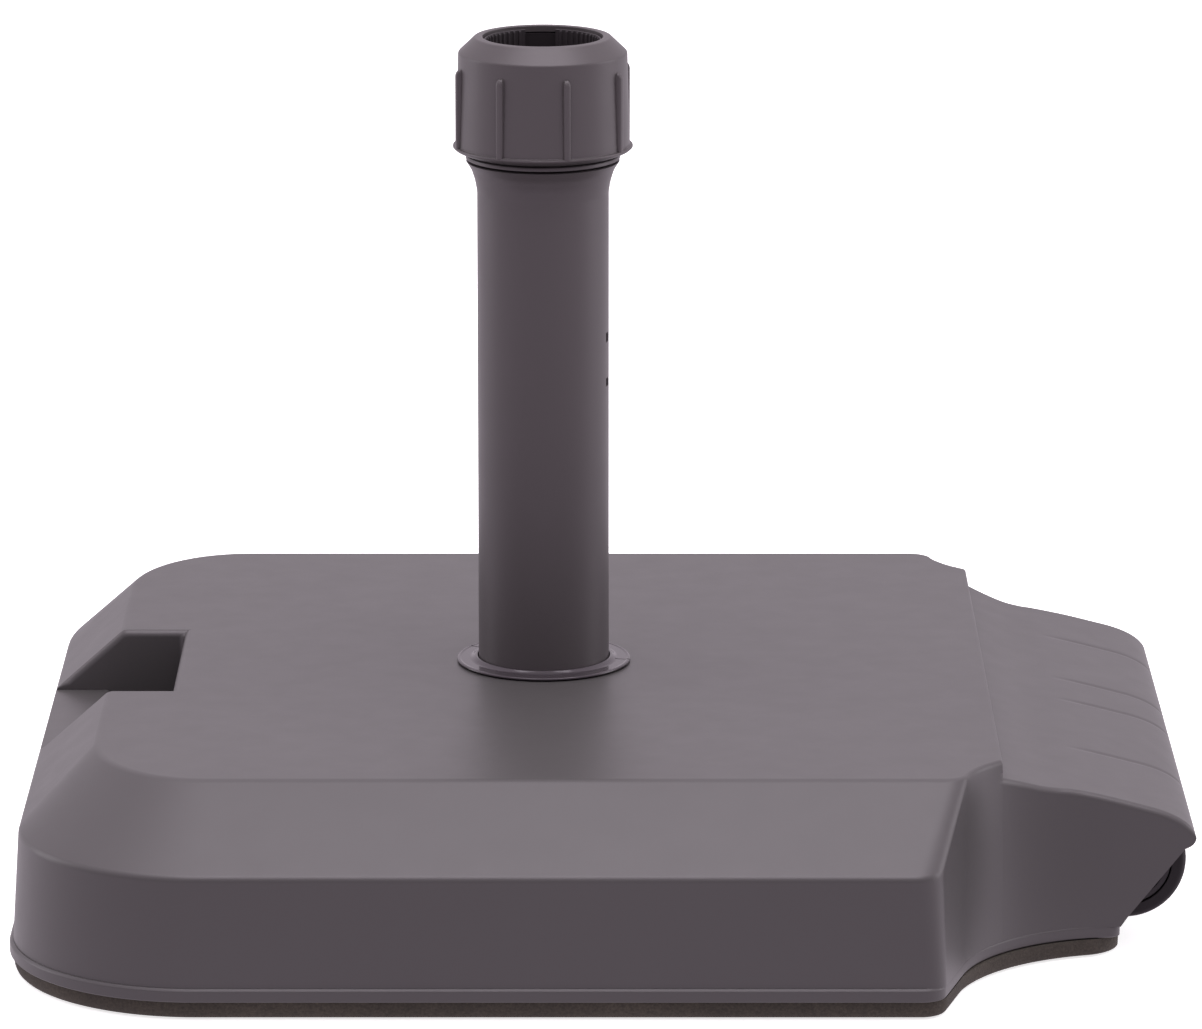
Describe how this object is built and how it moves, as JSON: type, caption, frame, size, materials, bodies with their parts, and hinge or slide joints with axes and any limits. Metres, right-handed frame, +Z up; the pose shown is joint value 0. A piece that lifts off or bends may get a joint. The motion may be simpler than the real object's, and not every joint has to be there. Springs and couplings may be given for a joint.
{
  "type": "parasol base",
  "caption": "Weighted parasol base: concrete block in a moulded shell, standpipe with a clamping nut, carrying grip and transport rollers.",
  "frame": {"origin": "on the ground, at the foot of the standpipe's axis", "axes": "+Z up along the standpipe, +X towards the rollers, -X towards the carrying grip"},
  "size_m": [0.5237, 0.5276, 0.3832],
  "materials": {
    "shell_plastic": "satin, very finely grained anthracite grey polypropylene",
    "pipe_plastic": "satin anthracite grey plastic, a little darker than the shell",
    "ring_plastic": "semi-gloss anthracite grey plastic",
    "inner_plastic": "matte dark grey plastic",
    "concrete": "cast concrete, warm grey, slightly rough",
    "wheel_plastic": "matte black plastic",
    "tyre_rubber": "matte black rubber",
    "steel": "bright zinc-plated steel"
  },
  "bodies": {
    "base": {"cover_shell": "shell_plastic", "concrete_core": "concrete", "pipe_socket": "inner_plastic", "flange_ring": "ring_plastic", "standpipe": "pipe_plastic", "thread_sleeve": "pipe_plastic", "axle": "steel", "inner_washer_front": "steel", "inner_washer_rear": "steel", "outer_washer_front": "steel", "outer_washer_rear": "steel"},
    "pressure_ring": {"pressure_ring": "inner_plastic"},
    "clamp_nut": {"clamp_nut": "pipe_plastic"},
    "clamp_jaw_1": {"clamp_jaw_1": "inner_plastic"},
    "clamp_jaw_2": {"clamp_jaw_2": "inner_plastic"},
    "clamp_jaw_3": {"clamp_jaw_3": "inner_plastic"},
    "wheel_front": {"wheel_hub_front": "wheel_plastic", "tyre_front": "tyre_rubber"},
    "wheel_rear": {"wheel_hub_rear": "wheel_plastic", "tyre_rear": "tyre_rubber"}
  },
  "joints": [
    {"name": "ring_slide", "type": "slide", "parent": "base", "child": "pressure_ring", "axis": [0, 0, 1], "range_m": [0, 0.01]},
    {"name": "nut_turn", "type": "hinge", "parent": "pressure_ring", "child": "clamp_nut", "pos_m": [0, 0, 0.36], "axis": [0, 0, 1], "range_deg": [0, 900]},
    {"name": "jaw_1_slide", "type": "slide", "parent": "base", "child": "clamp_jaw_1", "axis": [0.8387, 0.5446, 0], "range_m": [0, 0.0014]},
    {"name": "jaw_2_slide", "type": "slide", "parent": "base", "child": "clamp_jaw_2", "axis": [-0.891, 0.454, 0], "range_m": [0, 0.0014]},
    {"name": "jaw_3_slide", "type": "slide", "parent": "base", "child": "clamp_jaw_3", "axis": [0.0523, -0.9986, 0], "range_m": [0, 0.0014]},
    {"name": "front_wheel_spin", "type": "hinge", "parent": "base", "child": "wheel_front", "pos_m": [0.2595, -0.137, 0.0389], "axis": [0, 1, 0], "continuous": true},
    {"name": "rear_wheel_spin", "type": "hinge", "parent": "base", "child": "wheel_rear", "pos_m": [0.2595, 0.137, 0.0389], "axis": [0, 1, 0], "continuous": true}
  ],
  "couplings": [
    {"joint": "ring_slide", "follows": "nut_turn", "m_per_rad": 0.000636},
    {"joint": "jaw_1_slide", "follows": "nut_turn", "m_per_rad": 0.0000884},
    {"joint": "jaw_2_slide", "follows": "nut_turn", "m_per_rad": 0.0000884},
    {"joint": "jaw_3_slide", "follows": "nut_turn", "m_per_rad": 0.0000884}
  ]
}
